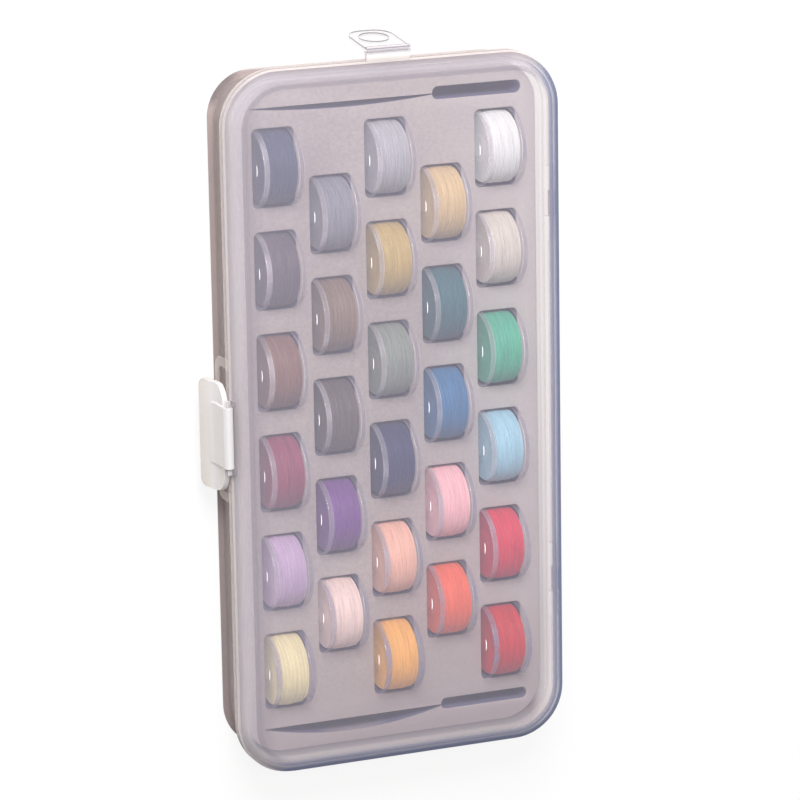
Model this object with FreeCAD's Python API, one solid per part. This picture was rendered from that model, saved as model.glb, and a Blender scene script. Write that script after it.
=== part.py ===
import FreeCAD, Part
import math
import os

from FreeCAD import Placement, Rotation, Vector

# Bobbin box for 28 wound bobbins. Millimetres.
# Origin: centre of the underside. X across (clasp at -X, hinge at +X), Y along (hang tab at +Y), Z up.

# Bobbins
bobbin_radius = 10.9
bobbin_width = 11.9
bobbin_bore_radius = 3.0
bobbin_core_wall = 1.0
bobbin_flange = 1.3
bobbin_edge_round = 0.35
thread_recess = 0.5
thread_crown = 0.25

# Foam insert: five columns of slots, every second column one shorter and half a pitch lower
column_pitch = 16.6
row_pitch = 28.8
long_column_rows = 6
column_count = 5
slot_play_along = 0.5
slot_play_across = 0.3
slot_corner_radius = 0.8
foam_thickness = 13.6
slot_floor = 0.8
foam_side_margin = 6.2
foam_end_margin = 12.8
foam_corner_radius = 11.5

# Two tool cut-outs near the ends of the foam: a bowed slit that runs into a rounded pocket
cutout_inset = 7.2
slit_start = -39.8
slit_end = 14.4
upper_slit_bow = 1.4
lower_slit_bow = 3.6
slit_throat = 0.8
throat_length = 3.2
throat_overlap = 2.4
pocket_length = 26.6
upper_pocket_width = 3.6
lower_pocket_width = 3.2
pocket_roundness = 0.45

# Shell
wall = 1.5
floor = 1.6
foam_gap = 0.7
head_clearance = 0.7
draft_angle = 2.0
underside_radius = 1.6
rim_overhang = 1.85
rim_thickness = 1.5
seam_gap = 0.2
lid_height = 7.0
lid_edge_radius = 5.0
lid_rim_step = 0.5
lid_rim_thickness = 1.3

# Lid hinge: two sets of three knuckles at the right-hand long side
hinge_offset = 0.1
hinge_drop = 2.7
hinge_arm = 1.1
hinge_knuckle_radius = 1.1
hinge_pin_radius = 0.5
hinge_running_gap = 0.05
hinge_clearance = 0.3
hinge_set_spacing = 110.0
hinge_knuckle_length = 7.0
hinge_end_gap = 0.25

# Clasp on the lid's left edge, closing over a bracket on the tray
clasp_pivot_angle = 5.0
clasp_barrel_radius = 1.3
clasp_pin_radius = 0.65
clasp_running_gap = 0.05
clasp_clearance = 0.25
clasp_ear_width = 1.5
clasp_end_play = 0.25
clasp_slide = -1.0
clasp_leaf_shift = -1.0
clasp_tongue_width = 17.4
clasp_body_width = 31.0
clasp_thickness = 1.6
clasp_shoulder_drop = 2.0
clasp_knee_drop = 6.2
clasp_length = 15.7
clasp_flare = 2.2
clasp_corner_radius = 2.6
clasp_shoulder_radius = 6.4
clasp_pad_drop = 9.2
clasp_pad_round = 0.9
clasp_pad_rise = 0.6
bracket_length = 41.0
bracket_depth = 12.5
bracket_border = 2.6
bracket_corner_radius = 4.0
bracket_rise = 0.9
bracket_recess = 0.5
catch_length = 15.0
catch_height = 1.6
catch_round = 0.5
catch_drop = 6.4
catch_gap = 0.15

# Hang tab, folded back along the end wall
tab_width = 12.8
tab_slide = -0.9
tab_root = 3.2
tab_root_thickness = 1.5
tab_thickness = 1.0
tab_length = 16.6
tab_corner_radius = 5.0
tab_hole_radius = 4.25
tab_hole_distance = 9.9
tab_tilt = 7.7
tab_bead_radius = 0.85
tab_socket_wall = 0.6
tab_running_gap = 0.06
tab_swing = 90.0
tab_swing_margin = 34.0

column_threads = (
    ("slate_blue", "plum_grey", "brown", "maroon", "lavender", "cream"),
    ("steel_grey", "taupe", "charcoal", "purple", "pale_pink"),
    ("silver_grey", "gold", "sage", "navy", "salmon", "orange"),
    ("tan", "teal", "blue", "pink", "vermilion"),
    ("white", "oatmeal", "green", "sky_blue", "crimson", "red"),
)

# Heights
bobbin_axis = floor + slot_floor + bobbin_radius
thread_radius = bobbin_radius - thread_recess
foam_top = floor + foam_thickness
box_height = bobbin_axis + bobbin_radius + head_clearance + wall
seam = box_height - lid_height - seam_gap
lid_bottom = box_height - lid_height

# Plan sizes
slot_length = 2 * bobbin_radius + slot_play_along
slot_width = bobbin_width + slot_play_across
slope = math.tan(math.radians(draft_angle))
foam_half_x = (column_count - 1) / 2 * column_pitch + slot_width / 2 + foam_side_margin
foam_half_y = (long_column_rows - 1) / 2 * row_pitch + slot_length / 2 + foam_end_margin
rim_grow = foam_gap + wall + (seam - foam_top) * slope + rim_overhang
rim_half_x = foam_half_x + rim_grow
rim_half_y = foam_half_y + rim_grow
rim_radius = foam_corner_radius + rim_grow
lid_half_x = rim_half_x - lid_rim_step
lid_half_y = rim_half_y - lid_rim_step
lid_radius = rim_radius - lid_rim_step
edge_round = min(lid_edge_radius, lid_height - lid_rim_thickness / 2)

# Joint axes
hinge_x = rim_half_x + hinge_offset
hinge_z = seam + seam_gap / 2 - hinge_drop
clasp_reach = edge_round + clasp_clearance + clasp_barrel_radius
clasp_x = -(lid_half_x - edge_round + clasp_reach * math.cos(math.radians(clasp_pivot_angle)))
clasp_z = box_height - edge_round + clasp_reach * math.sin(math.radians(clasp_pivot_angle))
clasp_outer = -rim_half_x - clasp_clearance - clasp_thickness
clasp_inner = clasp_outer + clasp_thickness
tab_socket_radius = tab_bead_radius + tab_running_gap + tab_socket_wall
tab_y = rim_half_y + tab_root
tab_z = lid_bottom + tab_root_thickness / 2

x_axis = Vector(1, 0, 0)
y_axis = Vector(0, 1, 0)
z_axis = Vector(0, 0, 1)


def rounded_wire(half_x, half_y, radius, z):
    """Rectangle with round corners in the plan at height z."""
    in_x = half_x - radius
    in_y = half_y - radius
    diagonal = radius * math.sqrt(0.5)
    corners = ((1, 1), (-1, 1), (-1, -1), (1, -1))
    arcs = []
    for sign_x, sign_y in corners:
        ends = [
            Vector(sign_x * half_x, sign_y * in_y, z),
            Vector(sign_x * in_x, sign_y * half_y, z),
        ]
        if sign_x * sign_y < 0:
            ends.reverse()
        middle = Vector(sign_x * (in_x + diagonal), sign_y * (in_y + diagonal), z)
        arcs.append(Part.Arc(ends[0], middle, ends[1]).toShape())
    edges = []
    for index, arc in enumerate(arcs):
        edges.append(arc)
        following = arcs[(index + 1) % len(arcs)]
        start = arc.valueAt(arc.LastParameter)
        end = following.valueAt(following.FirstParameter)
        edges.append(Part.makeLine(start, end))
    return Part.Wire(edges)


def plate(half_x, half_y, radius, z_low, z_high):
    """Straight-sided block with round corners."""
    face = Part.Face(rounded_wire(half_x, half_y, radius, z_low))
    return face.extrude(z_axis * (z_high - z_low))


def drafted(grow, z_low, z_high):
    """Block whose sides lean outwards with the draft, grow beyond the foam at each height."""
    wires = []
    for z in (z_low, z_high):
        out = grow + (z - foam_top) * slope
        wires.append(rounded_wire(foam_half_x + out, foam_half_y + out, foam_corner_radius + out, z))
    return Part.makeLoft(wires, True, True)


def edges_at(shape, z):
    """Edges that lie in the plane at height z."""
    found = []
    for edge in shape.Edges:
        if abs(edge.BoundBox.ZMin - z) < 1e-6 and abs(edge.BoundBox.ZMax - z) < 1e-6:
            found.append(edge)
    return found


def pillow(half_x, half_y, radius, z_low, z_high, edge_radius):
    """Straight-sided block with a rounded top edge."""
    block = plate(half_x, half_y, radius, z_low, z_high)
    return block.makeFillet(edge_radius, edges_at(block, z_high))


def rod(radius, start, direction, length):
    """Solid cylinder along one direction."""
    return Part.makeCylinder(radius, length, start, direction)


def prism(points, direction):
    """Polygon pushed along one direction."""
    closed = points + [points[0]]
    return Part.Face(Part.makePolygon(closed)).extrude(direction)


def rounded_side_panel(y_low, y_high, z_low, z_high, radius, x_from, x_to):
    """Upright panel facing X with round corners."""
    half_y = (y_high - y_low) / 2
    half_z = (z_high - z_low) / 2
    panel = plate(half_z, half_y, radius, 0, x_to - x_from)
    panel.rotate(Vector(0, 0, 0), y_axis, 90)
    panel.translate(Vector(x_from, (y_low + y_high) / 2, (z_low + z_high) / 2))
    return panel


def column_places(column):
    """Centres of one column's bobbins, top of the box first."""
    rows = long_column_rows - column % 2
    x = (column - (column_count - 1) / 2) * column_pitch
    first = (rows - 1) / 2 * row_pitch
    return [Vector(x, first - row * row_pitch, bobbin_axis) for row in range(rows)]


def hinge_spans():
    """Start along Y of the three knuckles of each hinge set, the middle one on the lid."""
    step = hinge_knuckle_length + hinge_end_gap
    spans = []
    for side in (-1, 1):
        start = side * hinge_set_spacing / 2 - hinge_knuckle_length / 2 - step
        spans.append([start + index * step for index in range(3)])
    return spans


def hinge_rod(radius, y_start, length):
    return rod(radius, Vector(hinge_x, y_start, hinge_z), y_axis, length)


def tray_knuckle(y_start):
    """Round knuckle under the tray's rim, with a web to the wall."""
    knuckle = hinge_rod(hinge_knuckle_radius, y_start, hinge_knuckle_length)
    web_in = rim_half_x - rim_overhang - wall / 2
    low = hinge_z - hinge_knuckle_radius
    high = seam - rim_thickness / 2
    corners = [
        Vector(web_in, y_start, low),
        Vector(hinge_x, y_start, low),
        Vector(hinge_x, y_start, hinge_z),
        Vector(rim_half_x, y_start, high),
        Vector(web_in, y_start, high),
    ]
    return knuckle.fuse(prism(corners, y_axis * hinge_knuckle_length))


def lid_knuckle(y_start):
    """Round knuckle on an arm that hangs from the lid's rim."""
    knuckle = hinge_rod(hinge_knuckle_radius, y_start, hinge_knuckle_length)
    corners = [
        Vector(rim_half_x - hinge_arm, y_start, hinge_z),
        Vector(rim_half_x, y_start, hinge_z),
        Vector(rim_half_x, y_start, lid_bottom + lid_rim_thickness / 2),
        Vector(rim_half_x - hinge_arm, y_start, lid_bottom + lid_rim_thickness / 2),
    ]
    return knuckle.fuse(prism(corners, y_axis * hinge_knuckle_length))


def hinge_notch(y_start):
    """Room in the tray's rim for the lid's knuckle and its arm."""
    start = y_start - hinge_end_gap
    length = hinge_knuckle_length + 2 * hinge_end_gap
    inner = rim_half_x - hinge_arm - hinge_clearance
    reach = hinge_x + hinge_knuckle_radius - inner
    slot = Part.makeBox(reach, length, seam_gap + hinge_drop, Vector(inner, start, hinge_z))
    return hinge_rod(hinge_knuckle_radius + hinge_clearance, start, length).fuse(slot)


def hinge_bore(spans):
    start = spans[0] - hinge_end_gap
    length = spans[-1] + hinge_knuckle_length + hinge_end_gap - start
    return start, length


def clasp_bracket():
    """Raised frame on the tray's left wall, with a rib that the clasp closes over."""
    top = seam - rim_thickness / 2
    bottom = top - bracket_depth
    inside = -(foam_half_x - wall)
    wall_face = foam_half_x + foam_gap + wall + ((top + bottom) / 2 - foam_top) * slope
    face = -(wall_face + bracket_rise)
    low = clasp_slide - bracket_length / 2
    high = clasp_slide + bracket_length / 2
    frame = rounded_side_panel(low, high, bottom, top, bracket_corner_radius, face, inside)
    recess = rounded_side_panel(
        low + bracket_border,
        high - bracket_border,
        bottom + bracket_border,
        top - bracket_border / 2,
        bracket_corner_radius - bracket_border / 2,
        face - bracket_recess,
        face + bracket_recess,
    )
    rib_face = clasp_inner + catch_gap
    rib_middle = seam - catch_drop
    rib = rounded_side_panel(
        clasp_slide - catch_length / 2,
        clasp_slide + catch_length / 2,
        rib_middle - catch_height / 2,
        rib_middle + catch_height / 2,
        catch_round,
        rib_face,
        inside,
    )
    return frame.cut(recess).fuse(rib)


def base_tray():
    shell = drafted(foam_gap + wall, 0, seam)
    shell = shell.makeFillet(underside_radius, edges_at(shell, 0))
    rim = plate(rim_half_x, rim_half_y, rim_radius, seam - rim_thickness, seam)
    shell = shell.fuse([rim, clasp_bracket()])
    shell = shell.cut(drafted(foam_gap, floor, seam + wall))
    for spans in hinge_spans():
        shell = shell.fuse([tray_knuckle(spans[0]), tray_knuckle(spans[2])])
        start, length = hinge_bore(spans)
        shell = shell.cut(hinge_rod(hinge_pin_radius, start, length))
        shell = shell.cut(hinge_notch(spans[1]))
    return shell.removeSplitter()


def lid_ears():
    """Two lugs on the lid's edge that carry the clasp's pin."""
    ears = []
    inner = clasp_tongue_width / 2 + clasp_end_play
    root_x = -(lid_half_x - edge_round)
    root_z = box_height - edge_round
    for y_start in (clasp_slide - inner - clasp_ear_width, clasp_slide + inner):
        round_end = rod(clasp_barrel_radius, Vector(clasp_x, y_start, clasp_z), y_axis, clasp_ear_width)
        across = Vector(clasp_x - root_x, 0, clasp_z - root_z)
        side = Vector(-across.z, 0, across.x).normalize() * clasp_barrel_radius
        pivot = Vector(clasp_x, y_start, clasp_z)
        root = Vector(root_x, y_start, root_z)
        web = prism([pivot + side, root + side, root - side, pivot - side], y_axis * clasp_ear_width)
        ears.append(round_end.fuse(web))
    return ears


def tab_socket():
    """Strip out from the lid's rim that ends in an open round seat for the tab's bead."""
    start = tab_slide - tab_width / 2
    strip = Part.makeBox(
        tab_width,
        tab_root + rim_overhang,
        tab_root_thickness,
        Vector(start, rim_half_y - rim_overhang, lid_bottom),
    )
    seat = rod(tab_socket_radius, Vector(start, tab_y, tab_z), x_axis, tab_width)
    bore = rod(tab_bead_radius + tab_running_gap, Vector(start, tab_y, tab_z), x_axis, tab_width)
    mouth_low = -90 + tab_tilt - tab_swing_margin
    mouth_high = -90 + tab_tilt + tab_swing + tab_swing_margin
    steps = 4
    reach = 2 * tab_socket_radius
    points = [Vector(start, tab_y, tab_z)]
    for index in range(steps + 1):
        angle = math.radians(mouth_low + (mouth_high - mouth_low) * index / steps)
        points.append(Vector(start, tab_y + reach * math.cos(angle), tab_z + reach * math.sin(angle)))
    mouth = prism(points, x_axis * tab_width)
    return strip.fuse(seat), bore.fuse(mouth)


def lid():
    rim = plate(rim_half_x, rim_half_y, rim_radius, lid_bottom, lid_bottom + lid_rim_thickness)
    dome = pillow(lid_half_x, lid_half_y, lid_radius, lid_bottom, box_height, edge_round)
    seat, seat_room = tab_socket()
    shell = rim.fuse([dome, seat] + lid_ears())
    hollow = pillow(
        lid_half_x - wall,
        lid_half_y - wall,
        lid_radius - wall,
        lid_bottom - wall,
        box_height - wall,
        edge_round - wall,
    )
    shell = shell.cut(hollow).cut(seat_room)
    ear_reach = clasp_tongue_width / 2 + clasp_end_play + clasp_ear_width
    pin_start = Vector(clasp_x, clasp_slide - ear_reach, clasp_z)
    shell = shell.cut(rod(clasp_pin_radius, pin_start, y_axis, 2 * ear_reach))
    for spans in hinge_spans():
        shell = shell.fuse(lid_knuckle(spans[1]))
        start, length = hinge_bore(spans)
        shell = shell.cut(hinge_rod(hinge_pin_radius + hinge_running_gap, start, length))
    return shell.removeSplitter()


def lid_hinge_pin(spans):
    length = spans[2] + hinge_knuckle_length - spans[0]
    return hinge_rod(hinge_pin_radius, spans[0], length)


def clasp_pin():
    ear_reach = clasp_tongue_width / 2 + clasp_end_play + clasp_ear_width
    return rod(clasp_pin_radius, Vector(clasp_x, clasp_slide - ear_reach, clasp_z), y_axis, 2 * ear_reach)


def clasp_section(rise, y_low, y_high):
    """Bent plate in section: straight below the barrel, then flared outwards at its free end."""
    knee_z = clasp_z - clasp_knee_drop
    end_z = clasp_z - clasp_length
    outer = clasp_outer - rise
    points = [
        Vector(clasp_inner, y_low, clasp_z),
        Vector(clasp_inner, y_low, knee_z),
        Vector(clasp_inner - clasp_flare, y_low, end_z),
        Vector(outer - clasp_flare, y_low, end_z),
        Vector(outer, y_low, knee_z),
        Vector(outer, y_low, clasp_z),
    ]
    return prism(points, y_axis * (y_high - y_low))


def clasp_outline():
    """Front view of the clasp: a narrow tongue that widens over round shoulders to the free end."""
    half_tongue = clasp_tongue_width / 2
    low = clasp_leaf_shift - clasp_body_width / 2
    high = clasp_leaf_shift + clasp_body_width / 2
    shoulder = clasp_z - clasp_shoulder_drop
    end_z = clasp_z - clasp_length
    x_near = clasp_inner + clasp_thickness
    x_far = clasp_outer - clasp_flare - clasp_pad_rise - clasp_thickness
    tongue = Part.makeBox(
        x_near - x_far, clasp_tongue_width, clasp_length, Vector(x_far, -half_tongue, end_z)
    )
    body = rounded_side_panel(low, high, end_z, shoulder, clasp_shoulder_radius, x_far, x_near)
    free_end = rounded_side_panel(
        low, high, end_z, shoulder - clasp_shoulder_radius, clasp_corner_radius, x_far, x_near
    )
    return tongue.fuse([body, free_end])


def clasp():
    half_tongue = clasp_tongue_width / 2
    leaf_start = clasp_leaf_shift - clasp_body_width / 2
    leaf = clasp_section(0, leaf_start, leaf_start + clasp_body_width).common(clasp_outline())
    barrel = rod(clasp_barrel_radius, Vector(clasp_x, -half_tongue, clasp_z), y_axis, clasp_tongue_width)
    neck = prism(
        [
            Vector(clasp_x, -half_tongue, clasp_z + clasp_barrel_radius),
            Vector(clasp_outer - clasp_pad_rise, -half_tongue, clasp_z),
            Vector(clasp_inner, -half_tongue, clasp_z),
            Vector(clasp_x, -half_tongue, clasp_z),
        ],
        y_axis * clasp_tongue_width,
    )
    pad_window = rounded_side_panel(
        -half_tongue,
        half_tongue,
        clasp_z - clasp_pad_drop,
        clasp_z + clasp_pad_round,
        clasp_pad_round,
        clasp_outer - clasp_flare - clasp_pad_rise - clasp_thickness,
        clasp_inner - clasp_thickness / 2,
    )
    pad = clasp_section(clasp_pad_rise, -half_tongue, half_tongue).common(pad_window)
    whole = leaf.fuse([barrel, neck, pad])
    bore_radius = clasp_pin_radius + clasp_running_gap
    whole = whole.cut(rod(bore_radius, Vector(clasp_x, -half_tongue, clasp_z), y_axis, clasp_tongue_width))
    whole.translate(Vector(0, clasp_slide, 0))
    return whole.removeSplitter()


def hang_tab():
    """Thin plate with a peg hole, hung from its bead and folded back along the end wall."""
    half = tab_width / 2
    half_length = tab_length / 2
    leaf = plate(half, half_length, tab_corner_radius, -tab_thickness / 2, tab_thickness / 2)
    square_end = Part.makeBox(
        tab_width, half_length, tab_thickness, Vector(-half, -half_length, -tab_thickness / 2)
    )
    leaf = leaf.fuse(square_end)
    leaf.translate(Vector(0, half_length, 0))
    bead = rod(tab_bead_radius, Vector(-half, 0, 0), x_axis, tab_width)
    hole = rod(tab_hole_radius, Vector(0, tab_hole_distance, -tab_thickness), z_axis, 2 * tab_thickness)
    whole = leaf.fuse(bead).cut(hole).removeSplitter()
    whole.rotate(Vector(0, 0, 0), x_axis, -90 + tab_tilt)
    whole.translate(Vector(tab_slide, tab_y, tab_z))
    return whole


def tool_cutout(y_line, bow, pocket_width):
    """Slit with one bowed lip that opens into a rounded pocket, as deep as the slots."""
    middle = (slit_start + slit_end) / 2
    low = floor + slot_floor
    depth = foam_top - low
    start = Vector(slit_start, y_line, low)
    end = Vector(slit_end, y_line, low)
    lip = Part.Arc(start, Vector(middle, y_line - bow, low), end).toShape()
    slit = Part.Face(Part.Wire([lip, Part.makeLine(end, start)])).extrude(z_axis * depth)
    pocket = plate(pocket_length / 2, pocket_width / 2, pocket_width * pocket_roundness, low, foam_top)
    pocket.translate(Vector(slit_end + pocket_length / 2, y_line, 0))
    throat = Part.makeBox(
        throat_length,
        slit_throat,
        depth,
        Vector(slit_end - throat_overlap, y_line - slit_throat, low),
    )
    return slit.fuse([pocket, throat])


def foam_insert():
    block = drafted(0, floor, foam_top)
    cuts = []
    for column in range(column_count):
        for place in column_places(column):
            slot = plate(slot_width / 2, slot_length / 2, slot_corner_radius, floor + slot_floor, foam_top)
            slot.translate(Vector(place.x, place.y, 0))
            cuts.append(slot)
    line = foam_half_y - cutout_inset
    cuts.append(tool_cutout(line, upper_slit_bow, upper_pocket_width))
    cuts.append(tool_cutout(-line, lower_slit_bow, lower_pocket_width))
    return block.cut(cuts)


def revolved(points):
    """Profile of (distance along X, radius) turned about the X axis."""
    corners = [Vector(x, 0, radius) for x, radius in points]
    return Part.Face(Part.makePolygon(corners + [corners[0]])).revolve(Vector(0, 0, 0), x_axis, 360)


def spool():
    """Clear bobbin: two flat flanges on a tubular core."""
    half = bobbin_width / 2
    inner = half - bobbin_flange
    core = bobbin_bore_radius + bobbin_core_wall
    soft = bobbin_edge_round
    return revolved(
        [
            (-half, bobbin_bore_radius),
            (half, bobbin_bore_radius),
            (half, bobbin_radius - soft),
            (half - soft, bobbin_radius),
            (inner + soft, bobbin_radius),
            (inner, bobbin_radius - soft),
            (inner, core),
            (-inner, core),
            (-inner, bobbin_radius - soft),
            (-inner - soft, bobbin_radius),
            (-half + soft, bobbin_radius),
            (-half, bobbin_radius - soft),
        ]
    )


def winding():
    """Thread wound between the flanges, a little fuller at the middle."""
    inner = bobbin_width / 2 - bobbin_flange
    core = bobbin_bore_radius + bobbin_core_wall
    edge = thread_radius - thread_crown
    crown = Part.Arc(Vector(-inner, 0, edge), Vector(0, 0, thread_radius), Vector(inner, 0, edge)).toShape()
    sides = Part.makePolygon(
        [Vector(inner, 0, edge), Vector(inner, 0, core), Vector(-inner, 0, core), Vector(-inner, 0, edge)]
    )
    section = Part.Face(Part.Wire([crown] + sides.Edges))
    return section.revolve(Vector(0, 0, 0), x_axis, 360)


def placed(shape, place):
    copy = shape.copy()
    copy.Placement = Placement(place, Rotation())
    return copy


def export(shape, name):
    shape.exportStep(os.path.join("parts", name + ".step"))


def main():
    os.makedirs("parts", exist_ok=True)
    export(base_tray(), "base_tray")
    export(foam_insert(), "foam_insert")
    export(lid(), "lid")
    export(clasp(), "clasp")
    export(clasp_pin(), "clasp_pin")
    export(hang_tab(), "hang_tab")
    for end, spans in zip(("lower", "upper"), hinge_spans()):
        export(lid_hinge_pin(spans), "lid_hinge_pin_" + end)
    one_spool = spool()
    one_winding = winding()
    for column, threads in enumerate(column_threads):
        places = column_places(column)
        spools = [placed(one_spool, place) for place in places]
        export(Part.makeCompound(spools), "bobbins_column_" + str(column + 1))
        for thread, place in zip(threads, places):
            export(placed(one_winding, place), "thread_" + thread)


main()
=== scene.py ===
import bpy
import math
import random
from mathutils import Matrix, Vector


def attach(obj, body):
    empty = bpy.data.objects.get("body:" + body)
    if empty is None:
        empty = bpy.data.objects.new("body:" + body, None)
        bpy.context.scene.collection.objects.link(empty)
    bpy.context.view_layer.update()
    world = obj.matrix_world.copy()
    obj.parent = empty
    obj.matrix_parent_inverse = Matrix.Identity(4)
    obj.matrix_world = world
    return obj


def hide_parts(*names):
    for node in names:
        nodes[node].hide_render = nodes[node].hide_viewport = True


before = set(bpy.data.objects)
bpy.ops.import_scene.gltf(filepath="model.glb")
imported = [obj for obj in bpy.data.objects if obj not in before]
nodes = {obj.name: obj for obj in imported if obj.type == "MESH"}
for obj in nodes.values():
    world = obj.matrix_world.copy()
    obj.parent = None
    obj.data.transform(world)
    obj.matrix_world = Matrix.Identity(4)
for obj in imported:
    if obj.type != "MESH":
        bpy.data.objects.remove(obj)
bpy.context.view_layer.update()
mm = 0.001
print("frame loaded:", len(nodes), "nodes")


def makeActive(piece):
    bpy.ops.object.select_all(action="DESELECT")
    piece.select_set(True)
    bpy.context.view_layer.objects.active = piece


def newPiece(name):
    # the primitive that was just added
    piece = bpy.context.object
    piece.name = name
    piece.data.name = name
    return piece


def settle(piece):
    # place, turn and size go into the mesh
    makeActive(piece)
    bpy.ops.object.transform_apply(location=True, rotation=True, scale=True)


def applyModifier(piece, kind, **settings):
    makeActive(piece)
    modifier = piece.modifiers.new(kind.title(), kind)
    for name, value in settings.items():
        setattr(modifier, name, value)
    bpy.ops.object.modifier_apply(modifier=modifier.name)


def joinPieces(piece, others):
    makeActive(piece)
    for other in others:
        other.select_set(True)
    bpy.ops.object.join()
    return piece


def pick(piece, test, mode="FACE"):
    # edit mode with only the faces, edges or points that pass the test
    makeActive(piece)
    bpy.ops.object.mode_set(mode="EDIT")
    bpy.ops.mesh.select_mode(type=mode)
    bpy.ops.mesh.select_all(action="DESELECT")
    bpy.ops.object.mode_set(mode="OBJECT")
    mesh = piece.data
    found = {"FACE": mesh.polygons, "EDGE": mesh.edges, "VERT": mesh.vertices}[mode]
    for element in found:
        element.select = test(element)
    bpy.ops.object.mode_set(mode="EDIT")


def leaveEdit():
    bpy.ops.object.mode_set(mode="OBJECT")


def uprightEdge(piece):
    points = piece.data.vertices

    def test(edge):
        run = points[edge.vertices[1]].co - points[edge.vertices[0]].co
        return abs(run.z) > 0.9 * run.length
    return test


def faceOutwards(piece):
    pick(piece, lambda face: True)
    bpy.ops.mesh.remove_doubles(threshold=0.000001)
    bpy.ops.mesh.normals_make_consistent(inside=False)
    leaveEdit()


def paint(piece, material):
    piece.data.materials.clear()
    piece.data.materials.append(material)


def tone(red, green, blue):
    # screen colour, 0 to 255, as the linear colour that a shader takes
    def linear(value):
        value = value / 255
        return value / 12.92 if value <= 0.04045 else ((value + 0.055) / 1.055) ** 2.4
    return (linear(red), linear(green), linear(blue), 1)


class Field:
    # one socket of a material; sums on fields add Math nodes
    def __init__(self, tree, socket=None):
        self.tree = tree
        self.socket = socket

    def node(self, kind, settings, sockets, output=0):
        made = self.tree.nodes.new(kind)
        for name, value in settings.items():
            setattr(made, name, value)
        for name, value in sockets.items():
            if isinstance(value, Field):
                self.tree.links.new(value.socket, made.inputs[name])
            else:
                made.inputs[name].default_value = value
        return Field(self.tree, made.outputs[output] if len(made.outputs) else None)

    def sum(self, operation, first, second):
        return self.node("ShaderNodeMath", {"operation": operation}, {0: first, 1: second})

    def __add__(self, other):
        return self.sum("ADD", self, other)

    def __radd__(self, other):
        return self.sum("ADD", other, self)

    def __sub__(self, other):
        return self.sum("SUBTRACT", self, other)

    def __rsub__(self, other):
        return self.sum("SUBTRACT", other, self)

    def __mul__(self, other):
        return self.sum("MULTIPLY", self, other)


def newMaterial(name):
    material = bpy.data.materials.new(name)
    material.use_nodes = True
    material.node_tree.nodes.clear()
    return material, Field(material.node_tree)


def stretched(make, x, y, z):
    # object coordinates, drawn out by a factor along each axis
    place = make.node("ShaderNodeTexCoord", {}, {}, "Object")
    return make.node("ShaderNodeMapping", {}, {"Vector": place, "Scale": (x, y, z)})


def noise(make, scale, detail=3, place=None):
    spot = place or make.node("ShaderNodeTexCoord", {}, {}, "Object")
    return make.node("ShaderNodeTexNoise", {}, {"Vector": spot, "Scale": scale, "Detail": detail})


def mixColour(make, factor, first, second):
    return make.node(
        "ShaderNodeMix", {"data_type": "RGBA"}, {0: factor, 6: first, 7: second}, 2
    )


def mapped(make, value, low, high, fromLow=0.0, fromHigh=1.0):
    return make.node(
        "ShaderNodeMapRange",
        {},
        {"Value": value, "From Min": fromLow, "From Max": fromHigh, "To Min": low, "To Max": high},
    )


def bump(make, height, strength, distance):
    return make.node(
        "ShaderNodeBump", {}, {"Height": height, "Strength": strength, "Distance": distance}
    )


def objectHeight(make):
    place = make.node("ShaderNodeTexCoord", {}, {}, "Object")
    return make.node("ShaderNodeSeparateXYZ", {}, {"Vector": place}, "Z")


def between(make, value, low, high, soft):
    # 1 from low to high, with soft ends
    rise = mapped(make, value, 0, 1, low - soft, low)
    fall = mapped(make, value, 1, 0, high, high + soft)
    return rise * fall


def outerSkin(make):
    # 1 on skins that face away from the middle of the box
    normal = make.node("ShaderNodeTexCoord", {}, {}, "Normal")
    place = make.node("ShaderNodeTexCoord", {}, {}, "Object")
    flat = make.node("ShaderNodeVectorMath", {"operation": "MULTIPLY"}, {0: normal, 1: (1, 1, 0)})
    out = make.node("ShaderNodeVectorMath", {"operation": "DOT_PRODUCT"}, {0: flat, 1: place}, "Value")
    return mapped(make, out, 0, 1, 0.0, 4 * mm)


def plainSkin(make, look, colour):
    return make.node(
        "ShaderNodeBsdfPrincipled",
        {},
        {"Base Color": colour, "Roughness": look["roughness"], "Specular IOR Level": look["shine"]},
    )


def milkyBody(make, look, thickness, edgeShare=1):
    # milky plastic thinned by see-through, denser towards grazing edges, where the edge colour also paints
    # reflection and shade
    cloud = noise(make, look["cloudScale"], 2)
    grain = noise(make, look["grainScale"], 3)
    facing = make.node("ShaderNodeLayerWeight", {}, {"Blend": 0.5}, "Facing")
    milk = make.node(
        "ShaderNodeBsdfPrincipled",
        {},
        {
            "Base Color": mixColour(make, cloud, look["colour"], look["cloudColour"]),
            "Roughness": mapped(make, grain, look["roughness"] - 0.05, look["roughness"] + 0.05),
            "Specular IOR Level": look["shine"],
            "Normal": bump(make, grain, look["bump"], 0.0002),
        },
    )
    rim = plainSkin(make, look, look["edgeColour"])
    through = make.node("ShaderNodeBsdfTransparent", {}, {"Color": look["through"]})
    veil = thickness + mapped(make, cloud, -look["cloudVeil"], look["cloudVeil"])
    body = make.node("ShaderNodeMixShader", {}, {0: veil, 1: through, 2: milk})
    edge = mapped(make, facing, 0, look["edge"], look["edgeFrom"], look["edgeFull"]) * edgeShare
    return make.node("ShaderNodeMixShader", {}, {0: edge, 1: body, 2: rim})


def glossOver(make, look, shader, share=1):
    # the polished skin's mirror light, stronger at a glance
    sheen = make.node("ShaderNodeLayerWeight", {}, {"Blend": look["glossBlend"]}, "Fresnel")
    skin = make.node(
        "ShaderNodeBsdfPrincipled",
        {},
        {"Base Color": (1, 1, 1, 1), "Metallic": 1.0, "Roughness": look["glossRoughness"]},
    )
    return make.node("ShaderNodeMixShader", {}, {0: sheen * look["gloss"] * share, 1: shader, 2: skin})


def finishMaterial(make, shader):
    make.node("ShaderNodeOutputMaterial", {}, {"Surface": shader})


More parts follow.
